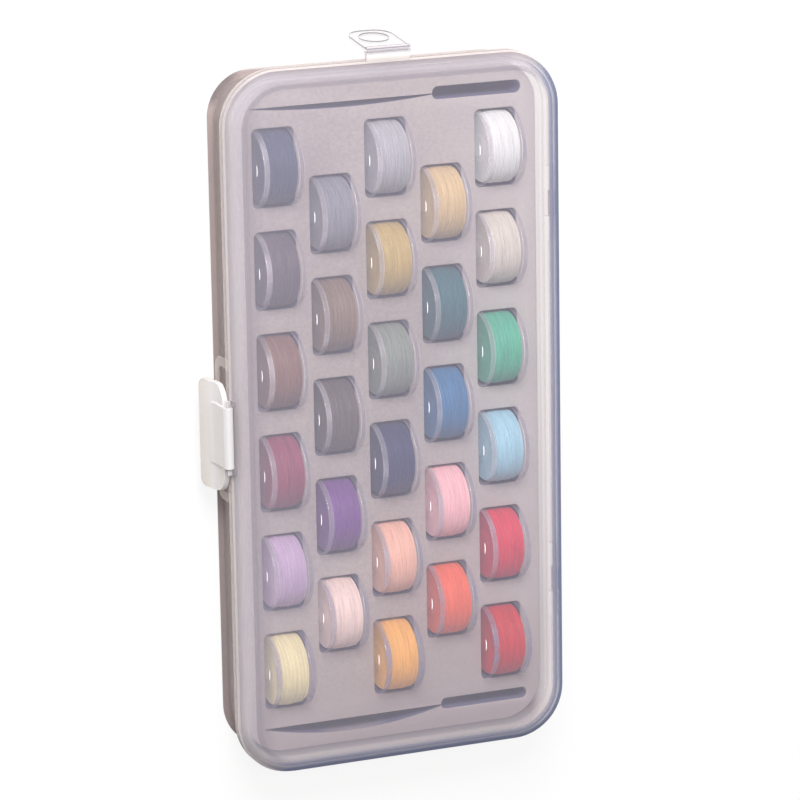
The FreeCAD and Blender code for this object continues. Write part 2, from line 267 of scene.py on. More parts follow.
lidLook = {
    "colour": tone(218, 213, 231),
    "cloudColour": tone(211, 207, 225),
    "edgeColour": tone(122, 128, 156),
    "litEdge": tone(176, 168, 171),
    "farEdgeShade": tone(132, 124, 130),
    "lee": (0.83, -0.55, 0),    # painted shade: the edges away from the lamp are darkest
    "through": tone(253, 252, 252),
    "veil": 0.11,
    "lean": 0.015,         # a little clearer towards the hinge
    "roundVeil": 0.15,     # more milk where the lid turns down
    # painted shade where the lid's top turns down into its edge
    "creaseShadeVeil": 0.35,
    "creaseShadeColour": tone(128, 122, 131),
    "fringe": 0.3,         # soft painted shade inside the lid's lit edge
    "streak": 0.0, "streakScale": 1400,
    "roundColour": tone(204, 203, 205),
    "rimVeil": 0.45,       # painted highlight along the moulded rim
    "rimLightColour": tone(228, 221, 214),
    "rimLow": 20.3, "rimHigh": 20.95,
    "cloudVeil": 0.025,
    "cloudScale": 22.0,
    "grainScale": 900.0,
    "roughness": 0.3,
    "shine": 0.0,
    "bump": 0.05,
    "edge": 0.95,
    "edgeFrom": 0.16,
    "edgeFull": 0.5,
    "gloss": 0.12,
    "glossBlend": 0.2,
    "glossRoughness": 0.18,
    "lugClear": 0.8,
    "bracket": 0.0,
}
# where the shells' looks change, in mm
shellPlan = {
    "leanReach": 45.0,
    "fringeFull": -46.0, "fringeEnd": -40.0,
    "hingeFrom": 40.0, "hingeFull": 44.0,
    "bracketFull": -48.3, "bracketEnd": -48.05,
    "bracketLow": 17.4, "bracketHigh": 17.6,
    "lugFull": -50.1, "lugEnd": -49.8,
}


def shellMaterial(name, look):
    material, make = newMaterial(name)
    normal = make.node("ShaderNodeTexCoord", {}, {}, "Normal")
    up = make.node("ShaderNodeSeparateXYZ", {}, {"Vector": normal}, "Z")
    upright = mapped(make, up * up, 1, 0, 0.25, 0.95)
    outer = outerSkin(make)
    lee = make.node(
        "ShaderNodeVectorMath", {"operation": "DOT_PRODUCT"}, {0: normal, 1: look["lee"]}, "Value"
    )
    leeward = mapped(make, lee, 0, 1, -0.15, 0.25)
    place = make.node("ShaderNodeTexCoord", {}, {}, "Object")
    across = make.node("ShaderNodeSeparateXYZ", {}, {"Vector": place}, "X")
    reach = shellPlan["leanReach"] * mm
    veil = look["veil"] + mapped(make, across, look["lean"], -look["lean"], -reach, reach)
    rounding = upright * outer
    streaks = noise(make, look["streakScale"], 2, stretched(make, 1, 0.004, 1))
    # thin stripes of denser milk in the tray's upright walls on the hinge side
    hinged = mapped(make, across, 0, 1, shellPlan["hingeFrom"] * mm, shellPlan["hingeFull"] * mm)
    veil = veil + mapped(make, streaks, 0, look["streak"], 0.45, 0.7) * upright * hinged
    # painted light and shade on the lid's edges: lighter towards the lamp, darker on the far end, darkest
    # away from the lamp
    farSide = make.node("ShaderNodeSeparateXYZ", {}, {"Vector": normal}, "Y")
    lit = mixColour(make, mapped(make, farSide, 0, 1, 0.2, 0.8), look["litEdge"], look["farEdgeShade"])
    turned = dict(
        look,
        colour=mixColour(make, rounding, look["colour"], look["roundColour"]),
        edgeColour=mixColour(make, leeward, lit, look["edgeColour"]),
    )
    body = milkyBody(make, turned, veil + rounding * look["roundVeil"], outer * (0.6 + leeward * 0.4))
    # painted highlight in a strip at the rim's height
    rimHighlightBand = between(make, objectHeight(make), look["rimLow"] * mm, look["rimHigh"] * mm, 0.1 * mm)
    rim = plainSkin(make, look, look["rimLightColour"])
    rimHighlighted = make.node("ShaderNodeMixShader", {}, {0: rimHighlightBand * look["rimVeil"], 1: body, 2: rim})
    # painted shade where the top turns down on the lamp's side, and inside the lit edge
    crease = plainSkin(make, look, look["creaseShadeColour"])
    fringe = mapped(
        make, across, look["fringe"], 0, shellPlan["fringeFull"] * mm, shellPlan["fringeEnd"] * mm
    )
    fringe = mapped(make, up, 0, 1, 0.98, 0.99) * fringe
    creaseShadeShare = between(make, up, 0.92, 0.982, 0.015) * look["creaseShadeVeil"] * (1 - leeward) + fringe
    creaseShaded = make.node("ShaderNodeMixShader", {}, {0: creaseShadeShare, 1: rimHighlighted, 2: crease})
    sheen = outer * (0.3 + leeward * 0.7) + mapped(make, up, 0, 1, 0.9, 0.95)
    # the clasp's bracket stands out a little lighter
    bracket = mapped(
        make, across, look["bracket"], 0, shellPlan["bracketFull"] * mm, shellPlan["bracketEnd"] * mm
    )
    bracket = bracket * mapped(
        make, objectHeight(make), 1, 0, shellPlan["bracketLow"] * mm, shellPlan["bracketHigh"] * mm
    )
    framed = make.node("ShaderNodeMixShader", {}, {0: bracket, 1: creaseShaded, 2: rim})
    polished = glossOver(make, look, framed, sheen)
    # the small lugs that stand out from the long side are all but clear
    lug = mapped(make, across, look["lugClear"], 0, shellPlan["lugFull"] * mm, shellPlan["lugEnd"] * mm)
    clear = make.node("ShaderNodeBsdfTransparent", {}, {"Color": (1, 1, 1, 1)})
    finishMaterial(make, make.node("ShaderNodeMixShader", {}, {0: lug, 1: polished, 2: clear}))
    return material


trayLook = dict(
    lidLook,
    colour=tone(226, 220, 216),
    cloudColour=tone(216, 210, 208),
    edgeColour=tone(150, 138, 136),
    through=tone(253, 251, 249),
    veil=0.07,
    roundVeil=0.0,
    creaseShadeVeil=0.0,
    fringe=0.0,
    streak=0.12,
    roundColour=tone(222, 214, 212),
    rimLow=17.6, rimHigh=19.2,
    rimVeil=0.22,
    edge=0.0,
    lugClear=0.0,
    bracket=0.3,
)


def copyTo(master, name, matrix):
    piece = master.copy()
    piece.data = master.data.copy()
    piece.name = name
    piece.data.name = name
    piece.parent = None
    for key in list(piece.keys()):
        del piece[key]
    bpy.context.scene.collection.objects.link(piece)
    piece.data.transform(matrix)
    return piece


def softened(node, name, width):
    # the solid's own shape with its sharp edges rounded over
    piece = copyTo(nodes[node], name, Matrix.Identity(4))
    makeActive(piece)
    bpy.ops.mesh.customdata_custom_splitnormals_clear()
    pick(piece, lambda face: True)
    bpy.ops.mesh.remove_doubles(threshold=0.000001)
    bpy.ops.mesh.dissolve_limited(angle_limit=math.radians(0.5))
    bpy.ops.mesh.normals_make_consistent(inside=False)
    leaveEdit()
    applyModifier(
        piece, "BEVEL", width=width * mm, segments=2, limit_method="ANGLE",
        angle_limit=math.radians(50), use_clamp_overlap=True, miter_outer="MITER_ARC",
    )
    applyModifier(piece, "TRIANGULATE", min_vertices=5)
    makeActive(piece)
    bpy.ops.object.shade_smooth_by_angle(angle=math.radians(40))
    applyModifier(piece, "WEIGHTED_NORMAL", keep_sharp=True, weight=100)
    return piece


def fit(piece, body, node):
    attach(piece, body)
    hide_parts(node)


shell = {"lidRound": 0.28, "trayRound": 0.28, "claspRound": 0.35, "tabRound": 0.18}
lidShell = softened("lid", "lidShell", shell["lidRound"])
trayShell = softened("base_tray", "trayShell", shell["trayRound"])
claspLeaf = softened("clasp", "claspLeaf", shell["claspRound"])
tabLeaf = softened("hang_tab", "tabLeaf", shell["tabRound"])
paint(lidShell, shellMaterial("lidPlastic", lidLook))
paint(trayShell, shellMaterial("trayPlastic", trayLook))
fit(lidShell, "lid", "lid")
fit(trayShell, "base", "base_tray")
fit(claspLeaf, "clasp", "clasp")
fit(tabLeaf, "hang_tab", "hang_tab")
for piece in (lidShell, trayShell, claspLeaf, tabLeaf):
    print(piece.name, len(piece.data.polygons), "faces")


def plainPlastic(name, look):
    material, make = newMaterial(name)
    # the thin free end is a little creamier
    thin = mapped(make, objectHeight(make), 1, 0, look["creamLow"] * mm, look["creamHigh"] * mm)
    tinted = dict(look, colour=mixColour(make, thin, look["colour"], look["edgeColour"]))
    finishMaterial(make, glossOver(make, look, milkyBody(make, tinted, look["veil"])))
    return material


claspLook = dict(
    lidLook,
    colour=tone(244, 243, 246),
    cloudColour=tone(236, 236, 240),
    edgeColour=tone(212, 201, 190),
    through=tone(242, 236, 232),
    veil=0.6,
    edge=0.3,
    edgeFull=0.7,
    roughness=0.38,
    creamLow=7.5, creamHigh=12.5,
)
tabLook = dict(
    lidLook,
    colour=tone(240, 240, 242),
    cloudColour=tone(232, 232, 236),
    veil=0.05,
    edgeColour=tone(92, 86, 96),
    edge=0.0,
    roughness=0.15,
    rimVeil=0.75,
    lie=(0, 0.991, 0.134),
    face=105.61,           # the leaf's outer face along that direction
    lineDepth=0.3, lineFade=0.45,
)


def tabMaterial(look):
    # clear plate whose cut sides show as a dark line
    material, make = newMaterial("tabPlastic")
    body = milkyBody(make, look, look["veil"])
    normal = make.node("ShaderNodeTexCoord", {}, {}, "Normal")
    flat = make.node(
        "ShaderNodeVectorMath", {"operation": "DOT_PRODUCT"}, {0: normal, 1: look["lie"]}, "Value"
    )
    turned = flat * flat
    place = make.node("ShaderNodeTexCoord", {}, {}, "Object")
    deep = make.node(
        "ShaderNodeVectorMath", {"operation": "DOT_PRODUCT"}, {0: place, 1: look["lie"]}, "Value"
    )
    skin = mapped(
        make, deep, 0.12, 1, (look["face"] - look["lineFade"]) * mm, (look["face"] - look["lineDepth"]) * mm
    )
    side = mapped(make, turned, look["rimVeil"], 0, 0.05, 0.8) * skin
    line = make.node(
        "ShaderNodeBsdfPrincipled",
        {},
        {"Base Color": look["edgeColour"], "Roughness": look["roughness"], "IOR": 1.49},
    )
    outlined = make.node("ShaderNodeMixShader", {}, {0: side, 1: body, 2: line})
    finishMaterial(make, glossOver(make, look, outlined))
    return material


pinLook = dict(claspLook, veil=0.4)
paint(claspLeaf, plainPlastic("claspPlastic", claspLook))
paint(tabLeaf, tabMaterial(tabLook))
pinPlastic = plainPlastic("pinPlastic", pinLook)
for name in ("clasp_pin", "lid_hinge_pin_lower", "lid_hinge_pin_upper"):
    paint(nodes[name], pinPlastic)

bobbin = {
    "radius": 10.88, "halfWidth": 5.93, "bore": 3.0, "core": 4.0, "flange": 1.7,
    "rimWidth": 1.0, "rimRise": 0.18, "hubRadius": 4.7, "hubRise": 0.15, "round": 0.3,
    "hubSlope": 0.3, "rimSlope": 0.2, "rimDip": 0.04, "edgeRound": 0.1,
    "hubBand": 0.25, "hubDepth": 0.4, "segments": 96, "axisHeight": 13.3,
    "roundShare": 0.85, "bandShare": 0.65, "hubShare": 0.3, "hingeMark": 1.05,
    "columnPitch": 16.6, "rowPitch": 28.8, "rows": (6, 5, 6, 5, 6),
}
bobbinLook = dict(
    lidLook,
    colour=tone(236, 234, 244),
    cloudColour=tone(226, 225, 236),
    edgeColour=tone(206, 205, 222),
    veil=0.012,
    cloudVeil=0.01,
    cloudScale=180.0,
    edge=0.0,
    roughness=0.1,
    bump=0.02,
    # rim colours: lit, and painted shade towards the near end and on the hinge side
    rimLightColour=tone(224, 219, 226),
    nearRimShade=tone(128, 121, 148),
    hingeRimShade=tone(118, 114, 136),
    nearEnd=-75.0, farEnd=15.0,
    rimVeil=0.52,
    glintScale=150,
    hubGlint=0.9,
    gloss=0.3,
    glossBlend=0.3,
    glossRoughness=0.12,
)


def bobbinPlaces(column):
    rows = bobbin["rows"][column]
    x = (column - 2) * bobbin["columnPitch"]
    return [(x, ((rows - 1) / 2 - row) * bobbin["rowPitch"]) for row in range(rows)]


def bobbinMaster():
    # half of the section as a strip of edges, bevelled, then spun about the X axis
    half = bobbin["halfWidth"]
    inner = half - bobbin["flange"]
    face = half - bobbin["rimRise"]
    hubFace = half - bobbin["rimRise"] + bobbin["hubRise"]
    outline = [
        (0, bobbin["bore"]), (hubFace, bobbin["bore"]), (hubFace, bobbin["hubRadius"]),
        (face, bobbin["hubRadius"] + bobbin["hubSlope"]), (face, bobbin["radius"] - bobbin["rimWidth"]),
        (half, bobbin["radius"] - bobbin["rimWidth"] + bobbin["rimSlope"]), (half, bobbin["radius"]),
        (half - bobbin["flange"] / 2, bobbin["radius"] - bobbin["rimDip"]),
        (inner, bobbin["radius"]), (inner, bobbin["core"]), (0, bobbin["core"]),
    ]
    bpy.ops.object.select_all(action="DESELECT")
    bpy.ops.mesh.primitive_plane_add(size=1)
    piece = newPiece("bobbinMaster")
    pick(piece, lambda vertex: True, "VERT")
    bpy.ops.mesh.merge(type="CENTER")
    leaveEdit()
    piece.data.vertices[0].co = (outline[0][0] * mm, 0, outline[0][1] * mm)
    pick(piece, lambda vertex: True, "VERT")
    for before, after in zip(outline, outline[1:]):
        step = ((after[0] - before[0]) * mm, 0, (after[1] - before[1]) * mm)
        bpy.ops.mesh.extrude_region_move(TRANSFORM_OT_translate={"value": step})
    leaveEdit()
    crest = (bobbin["radius"] - bobbin["rimDip"] / 2) * mm
    pick(piece, lambda vertex: vertex.co.z > crest, "VERT")
    bpy.ops.mesh.bevel(offset=bobbin["round"] * mm, segments=4, affect="VERTICES")
    leaveEdit()
    crest = (bobbin["radius"] - bobbin["rimWidth"] / 2) * mm
    pick(piece, lambda vertex: vertex.co.x > 0.001 * mm and vertex.co.z < crest, "VERT")
    bpy.ops.mesh.bevel(offset=bobbin["edgeRound"] * mm, segments=2, affect="VERTICES")
    leaveEdit()
    applyModifier(
        piece, "SCREW", axis="X", angle=2 * math.pi, screw_offset=0, iterations=1,
        steps=bobbin["segments"], render_steps=bobbin["segments"], use_merge_vertices=True,
        merge_threshold=0.000001,
    )
    applyModifier(piece, "MIRROR", use_axis=(True, False, False), merge_threshold=0.000001)
    faceOutwards(piece)
    makeActive(piece)
    bpy.ops.object.shade_smooth_by_angle(angle=math.radians(50))
    return piece


def bobbinMaterial(look):
    # clear plastic with milky rims, with painted shade towards the near end and on the hinge side, and
    # painted glints
    material, make = newMaterial("bobbinPlastic")
    stored = make.node("ShaderNodeAttribute", {"attribute_name": "rim"}, {}, "Fac")
    # bands on the hinge side are stored one higher
    hingeSide = mapped(make, stored, 0, 1, 1.0, bobbin["hingeMark"])
    away = stored - hingeSide
    body = milkyBody(make, look, look["veil"])
    place = make.node("ShaderNodeTexCoord", {}, {}, "Object")
    along = make.node("ShaderNodeSeparateXYZ", {}, {"Vector": place}, "Y")
    # painted shade: rims darken towards the near end and on the hinge side
    far = mapped(make, along, 0, 1, look["nearEnd"] * mm, look["farEnd"] * mm)
    colour = mixColour(make, far, look["nearRimShade"], look["rimLightColour"])
    colour = mixColour(make, hingeSide, colour, look["hingeRimShade"])
    rim = make.node(
        "ShaderNodeBsdfPrincipled", {}, {"Base Color": colour, "Roughness": look["roughness"]}
    )
    # painted glints in patches, stronger on the darker near rims
    patches = noise(make, look["glintScale"], 1)
    glint = mapped(make, patches, look["rimVeil"] * 0.5, look["rimVeil"], 0.4, 0.66)
    glint = glint * mapped(make, far, 1.9, 1)
    # painted highlight: brightest where a rim faces up
    normal = make.node("ShaderNodeNewGeometry", {}, {}, "Normal")
    upward = make.node("ShaderNodeSeparateXYZ", {}, {"Vector": normal}, "Z")
    glint = glint * mapped(make, upward, 0.6, 1.15, 0.3, 0.95)
    rimmed = make.node("ShaderNodeMixShader", {}, {0: away * glint, 1: body, 2: rim})
    # the rims mirror most, so that the windings show through the flanges
    inside = make.node("ShaderNodeNewGeometry", {}, {}, "Backfacing")
    share = mapped(make, inside, 1, 0) * mapped(make, away, 0.2, 1, 0, 0.5)
    glossy = glossOver(make, look, rimmed, share)
    # a painted glint of the lamp on top of the hub ring, which glows
    hub = make.node("ShaderNodeAttribute", {"attribute_name": "hub"}, {}, "Fac")
    spark = make.node(
        "ShaderNodeBsdfPrincipled",
        {},
        {"Base Color": (1, 1, 1, 1), "Emission Color": (1, 1, 1, 1), "Emission Strength": look["hubGlint"]},
    )
    radial = make.node("ShaderNodeVectorMath", {"operation": "MULTIPLY"}, {0: normal, 1: (0, 1, 1)})
    outward = make.node("ShaderNodeVectorMath", {"operation": "NORMALIZE"}, {0: radial})
    crest = make.node("ShaderNodeSeparateXYZ", {}, {"Vector": outward}, "Z")
    spot = hub * mapped(make, crest, 0, 1, 0.93, 0.985)
    finishMaterial(make, make.node("ShaderNodeMixShader", {}, {0: spot, 1: glossy, 2: spark}))
    return material


spoolMaster = bobbinMaster()
marks = spoolMaster.data.attributes
for mark in ("rim", "hub"):
    marks.new(mark, "FLOAT", "FACE")
for index, face in enumerate(spoolMaster.data.polygons):
    away = math.hypot(face.center.y, face.center.z) / mm
    out = abs(face.center.x) / mm
    side = abs(out - bobbin["halfWidth"] + bobbin["flange"] / 2)
    onRim = away > bobbin["radius"] - bobbin["round"]
    onRound = onRim and side > bobbin["flange"] / 2 - bobbin["round"]
    onHub = abs(away - bobbin["hubRadius"]) < bobbin["hubBand"]
    onHub = onHub and out > bobbin["halfWidth"] - bobbin["hubDepth"]
    share = 0.0
    if onRound:
        share = bobbin["roundShare"]
    elif onRim:
        share = bobbin["bandShare"]
        if face.center.x > 0:
            share += bobbin["hingeMark"]
    elif onHub:
        share = bobbin["hubShare"]
    marks["rim"].data[index].value = share
    marks["hub"].data[index].value = 1.0 if onHub and face.center.x < 0 else 0.0
bobbinPlastic = bobbinMaterial(bobbinLook)
spin = random.Random(5)
for column in range(5):
    spools = []
    for x, y in bobbinPlaces(column):
        place = Matrix.Translation((x * mm, y * mm, bobbin["axisHeight"] * mm))
        turn = Matrix.Rotation(spin.uniform(0, 6.28), 4, "X")
        spools.append(copyTo(spoolMaster, "bobbinRow" + str(column + 1), place @ turn))
    piece = joinPieces(spools[0], spools[1:])
    paint(piece, bobbinPlastic)
    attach(piece, "base")
    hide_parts("bobbins_column_" + str(column + 1))
bpy.data.objects.remove(spoolMaster)
print("plastics painted")


# foam insert with soft-edged slots

foam = {
    "halfX": 45.5, "halfY": 95.95, "cornerRadius": 11.5, "draft": 2.0,
    "bottom": 1.6, "top": 15.2,
    "slotX": 12.2, "slotY": 22.0, "slotRadius": 1.5, "lip": 0.4, "slotFloor": 0.8,
    "cutY": 88.75, "slitStart": -39.8, "slitEnd": 14.4, "slitTip": 0.25, "slitOverlap": 1.0,
    "pocketLength": 26.6, "pocketLip": 0.3, "pocketRound": 0.45, "topRound": 0.5, "cutAbove": 3.0,
    "upper": {"bow": 1.4, "pocket": 3.6},
    "lower": {"bow": 3.6, "pocket": 3.2},
    # the dark tone varies at random and is also painted shade at the near end; slot and outer-side colours
    # are painted shade, the hinge colour painted light
    "colour": tone(180, 172, 167), "darkToneAndShade": tone(159, 148, 146),
    "slotShadeColour": tone(98, 97, 124), "flankShadeColour": tone(138, 127, 133),
    "hingeLightColour": tone(194, 190, 190), "shadeLow": 14.6, "shadeHigh": 15.15,
    "slotsX": 41.0, "slotsY": 92.0, "flankLow": 13.0, "flankHigh": 14.5,
    "nearFull": -97.0, "nearEnd": -55.0, "hingeReach": 40.0,
    "cellScale": 2600, "patchScale": 40, "grainScale": 1100, "roughness": 0.9, "shine": 0.2,
}


def block(name, sizeX, sizeY, low, high, place, radius, segments):
    # upright block with round corners
    bpy.ops.object.select_all(action="DESELECT")
    bpy.ops.mesh.primitive_cube_add(size=1, location=(place[0] * mm, place[1] * mm, (low + high) / 2 * mm))
    piece = newPiece(name)
    piece.scale = (sizeX * mm, sizeY * mm, (high - low) * mm)
    settle(piece)
    pick(piece, uprightEdge(piece), "EDGE")
    bpy.ops.mesh.bevel(offset=radius * mm, segments=segments, affect="EDGES")
    leaveEdit()
    return piece


def flareTop(piece, lip, centre, halfX, halfY, steps=4):
    # the cutter's top opens outwards, which leaves a rounded lip
    top = max(vertex.co.z for vertex in piece.data.vertices)
    pick(piece, lambda face: face.normal.z > 0.9 and face.center.z > top - 1e-6)
    done = 0.0
    for step in range(1, steps + 1):
        angle = math.pi / 2 * step / steps
        out = lip * (1 - math.cos(angle))
        rise = lip * (math.sin(angle) - math.sin(math.pi / 2 * (step - 1) / steps))
        bpy.ops.mesh.extrude_region_move(TRANSFORM_OT_translate={"value": (0, 0, rise * mm)})
        bpy.ops.transform.resize(
            value=((halfX + out) / (halfX + done), (halfY + out) / (halfY + done), 1),
            center_override=(centre[0] * mm, centre[1] * mm, 0),
        )
        done = out
    bpy.ops.mesh.extrude_region_move(TRANSFORM_OT_translate={"value": (0, 0, foam["cutAbove"] * mm)})
    leaveEdit()
    return piece


def slotCutter(place):
    cutter = block(
        "slotCutter", foam["slotX"], foam["slotY"],
        foam["bottom"] + foam["slotFloor"], foam["top"] - foam["lip"], place, foam["slotRadius"], 5,
    )
    return flareTop(cutter, foam["lip"], place, foam["slotX"] / 2, foam["slotY"] / 2)


def pocketCutter(y, width):
    centre = (foam["slitEnd"] + foam["pocketLength"] / 2, y)
    cutter = block(
        "pocketCutter", foam["pocketLength"], width,
        foam["bottom"] + foam["slotFloor"], foam["top"] - foam["pocketLip"],
        centre, width * foam["pocketRound"], 6,
    )
    return flareTop(cutter, foam["pocketLip"], centre, foam["pocketLength"] / 2, width / 2, 3)


def slitCutter(y, bow):
    # a long lens with one bowed side
    length = foam["slitEnd"] - foam["slitStart"]
    bpy.ops.object.select_all(action="DESELECT")
    bpy.ops.mesh.primitive_grid_add(x_subdivisions=36, y_subdivisions=1, size=1)
    cutter = newPiece("slitCutter")
    for vertex in cutter.data.vertices:
        along = vertex.co.x + 0.5
        sag = bow * (1 - (2 * along - 1) ** 2) + foam["slitTip"]
        vertex.co.x = (foam["slitStart"] + along * (length + foam["slitOverlap"])) * mm
        vertex.co.y = (y if vertex.co.y > 0 else y - sag) * mm
        vertex.co.z = (foam["bottom"] + foam["slotFloor"]) * mm
    pick(cutter, lambda face: True)
    bpy.ops.mesh.extrude_region_move(
        TRANSFORM_OT_translate={"value": (0, 0, (foam["top"] - foam["bottom"] + 4) * mm)}
    )
    bpy.ops.mesh.select_all(action="SELECT")
    bpy.ops.mesh.normals_make_consistent(inside=False)
    leaveEdit()
    return cutter


def foamInsert():
    low = foam["bottom"]
    piece = block(
        "foamInsert", 2 * foam["halfX"], 2 * foam["halfY"], low, foam["top"], (0, 0),
        foam["cornerRadius"], 14,
    )
    shrink = (foam["top"] - low) * math.tan(math.radians(foam["draft"]))
    pick(piece, lambda vertex: vertex.co.z < (low + 1) * mm, "VERT")
    bpy.ops.transform.resize(
        value=(1 - shrink / foam["halfX"], 1 - shrink / foam["halfY"], 1), center_override=(0, 0, 0)
    )
    leaveEdit()
    pick(piece, lambda face: face.normal.z > 0.9)
    bpy.ops.mesh.bevel(offset=foam["topRound"] * mm, segments=3, affect="EDGES")
    leaveEdit()
    cutters = [slotCutter(place) for column in range(5) for place in bobbinPlaces(column)]
    for side, sign in (("upper", 1), ("lower", -1)):
        cutters.append(pocketCutter(sign * foam["cutY"], foam[side]["pocket"]))
        cutters.append(slitCutter(sign * foam["cutY"], foam[side]["bow"]))
    for cutter in cutters:
        cutter.select_set(False)
    slotCount = sum(bobbin["rows"])
    slots = cutters[:slotCount]
    tools = cutters[slotCount:]
    joinPieces(slots[0], slots[1:])
    for cutter in [slots[0]] + tools:
        faceOutwards(cutter)
        applyModifier(piece, "BOOLEAN", operation="DIFFERENCE", solver="EXACT", object=cutter)
        bpy.data.objects.remove(cutter)
    faceOutwards(piece)
    makeActive(piece)
    bpy.ops.object.shade_smooth_by_angle(angle=math.radians(35))
    return piece


def foamMaterial():
    material, make = newMaterial("foamGrey")
    cells = noise(make, foam["cellScale"], 3)
    patches = noise(make, foam["patchScale"], 3)
    grain = noise(make, foam["grainScale"], 2)
    shade = mapped(make, patches * 0.4 + cells * 0.2 + grain * 0.4, 0, 1, 0.35, 0.65)
    colour = mixColour(make, shade, foam["colour"], foam["darkToneAndShade"])
    # painted shade down the cut walls, where little light reaches
    depth = mapped(make, objectHeight(make), 1, 0, foam["shadeLow"] * mm, foam["shadeHigh"] * mm)
    place = make.node("ShaderNodeTexCoord", {}, {}, "Object")
    across = make.node("ShaderNodeSeparateXYZ", {}, {"Vector": place}, "X")
    along = make.node("ShaderNodeSeparateXYZ", {}, {"Vector": place}, "Y")
    slotsX = foam["slotsX"] * mm
    slotsY = foam["slotsY"] * mm
    inside = between(make, across, -slotsX, slotsX, mm) * between(make, along, -slotsY, slotsY, mm)
    # less painted shade on the lips at the far ends of the slots, which lie in the open
    normal = make.node("ShaderNodeTexCoord", {}, {}, "Normal")
    towards = make.node("ShaderNodeSeparateXYZ", {}, {"Vector": normal}, "Y")
    shaded = mapped(make, towards, 0.1, 1, -0.5, -0.05)
    colour = mixColour(make, depth * inside * shaded, colour, foam["slotShadeColour"])
    # painted shade on the outer sides below the top
    flankShade = mapped(make, objectHeight(make), 1, 0, foam["flankLow"] * mm, foam["flankHigh"] * mm)
    flankShade = flankShade * (1 - inside)
    # painted shade: darker towards the near end
    near = mapped(make, along, 0.85, 0, foam["nearFull"] * mm, foam["nearEnd"] * mm) * (1 - depth)
    # painted light: lighter towards the hinge side
    hinged = mapped(make, across, 0, 0.5, 0, foam["hingeReach"] * mm) * (1 - depth)
    colour = mixColour(make, hinged, colour, foam["hingeLightColour"])
    colour = mixColour(make, near, colour, foam["darkToneAndShade"])
    colour = mixColour(make, flankShade, colour, foam["flankShadeColour"])
    shader = make.node(
        "ShaderNodeBsdfPrincipled",
        {},
        {
            "Base Color": colour,
            "Roughness": foam["roughness"],
            "Specular IOR Level": foam["shine"],
            "Normal": bump(make, cells, 0.25, 0.0002),
        },
    )
    finishMaterial(make, shader)
    return material


foamPiece = foamInsert()
paint(foamPiece, foamMaterial())
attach(foamPiece, "base")
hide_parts("foam_insert")
print("foam cut:", len(foamPiece.data.polygons), "faces")


# wound thread

winding = {
    "halfLength": 4.2, "radius": 10.38, "crown": 0.3,
    "strand": 0.21, "pitch": 0.38, "sides": 7, "steps": 72,
    "axisHeight": 13.3, "masters": 4, "crossings": 7, "endGlow": 0.25,
    "hill": 0.02, "ripple": 0.03, "rippleRate": 7.0, "bunch": 0.04, "bunchRate": 5.6,
    "fibreScale": 1000, "shadeScale": 1800, "roughness": 0.55, "shine": 0.4, "sheen": 0.15,
}
threadColours = {
    1: {
        "slate_blue": (44, 57, 86), "plum_grey": (82, 70, 80), "brown": (122, 84, 70),
        "maroon": (138, 42, 76), "lavender": (189, 161, 194), "cream": (227, 214, 166),
    },
    2: {
        "steel_grey": (128, 128, 138), "taupe": (124, 101, 83), "charcoal": (84, 72, 70),
        "purple": (108, 52, 134), "pale_pink": (235, 209, 201),
    },
    3: {
        "silver_grey": (166, 165, 170), "gold": (188, 161, 90), "sage": (129, 137, 127),
        "navy": (20, 34, 84), "salmon": (236, 182, 160), "orange": (238, 174, 74),
    },
    4: {
        "tan": (206, 178, 130), "teal": (8, 90, 100), "blue": (34, 108, 156),
        "pink": (242, 184, 190), "vermilion": (234, 94, 48),
    },
    5: {
        "white": (221, 222, 221), "oatmeal": (206, 198, 188), "green": (66, 169, 138),
        "sky_blue": (156, 199, 217), "crimson": (210, 8, 56), "red": (196, 0, 0),
    },
}


def strandTurns(startX, radius, turns, pitch, steps):
    # one thread as a tube wound about the X axis
    bpy.ops.object.select_all(action="DESELECT")
    bpy.ops.mesh.primitive_circle_add(
        vertices=winding["sides"], radius=winding["strand"] * mm,
        location=(startX * mm, 0, radius * mm), rotation=(math.pi / 2, 0, 0),
    )
    strand = newPiece("strand")
    settle(strand)
    whole = max(1, int(turns))
    applyModifier(
        strand, "SCREW", axis="X", angle=2 * math.pi * turns / whole, iterations=whole,
        screw_offset=pitch * turns / whole * mm, steps=steps, render_steps=steps,
        use_merge_vertices=False,
    )
    pick(strand, lambda edge: True, "EDGE")
    bpy.ops.mesh.select_all(action="DESELECT")
    bpy.ops.mesh.select_non_manifold()
    bpy.ops.mesh.edge_face_add()
    leaveEdit()
    return strand


